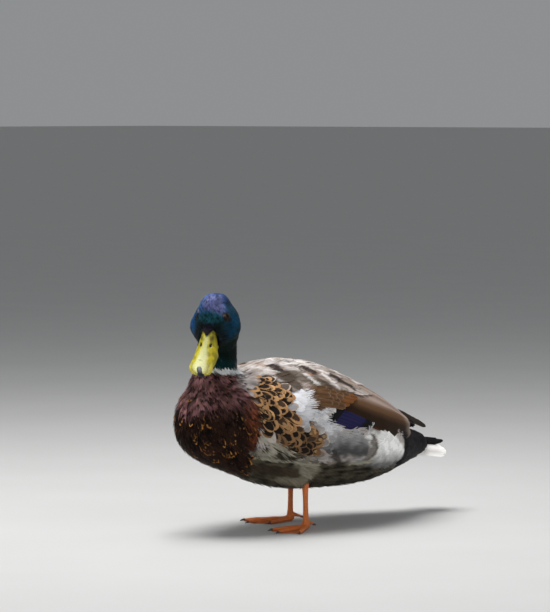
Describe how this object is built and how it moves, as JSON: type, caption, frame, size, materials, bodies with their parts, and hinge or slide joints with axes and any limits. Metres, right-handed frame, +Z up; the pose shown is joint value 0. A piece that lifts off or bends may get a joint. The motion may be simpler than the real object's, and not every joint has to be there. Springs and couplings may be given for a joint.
{
  "type": "mallard drake",
  "caption": "Life-size standing mallard drake in partial moult, head turned to its left, bill lowered, wings folded, one foot ahead of the other.",
  "frame": {"origin": "on the floor, under the middle of the whole bird's bounding box", "axes": "+Z up; the drake faces -Y with its tail towards +Y; +X is its left side"},
  "size_m": [0.1596, 0.4178, 0.2562],
  "materials": {
    "body_plumage": "soft matt feathers",
    "neck": "black-green feathers with a satin sheen",
    "head": "blue-green and violet feathers with a satin sheen",
    "wing_plumage": "brown feathers, matt",
    "primaries": "near-black feathers, matt",
    "tail": "white feathers, matt",
    "curl": "black feathers with a slight sheen",
    "bill": "satin horn, ochre yellow",
    "nail": "satin horn, blue-black",
    "eye": "wet gloss, dark brown",
    "leg": "scaly orange skin, satin",
    "claw": "dark horn, satin"
  },
  "bodies": {
    "root": {"bill_lower": "bill", "bill_nail": "nail", "bill_upper": "bill", "claw_hind_left": "claw", "claw_hind_right": "claw", "claw_inner_left": "claw", "claw_inner_right": "claw", "claw_middle_left": "claw", "claw_middle_right": "claw", "claw_outer_left": "claw", "claw_outer_right": "claw", "curl_left": "curl", "curl_right": "curl", "eye_left": "eye", "eye_right": "eye", "foot_left": "leg", "foot_right": "leg", "head": "head", "neck": "neck", "primaries_left": "primaries", "primaries_right": "primaries", "shank_left": "leg", "shank_right": "leg", "tail": "tail", "thigh_left": "body_plumage", "thigh_right": "body_plumage", "trunk": "body_plumage", "wing_left": "wing_plumage", "wing_right": "wing_plumage"}
  },
  "joints": []
}
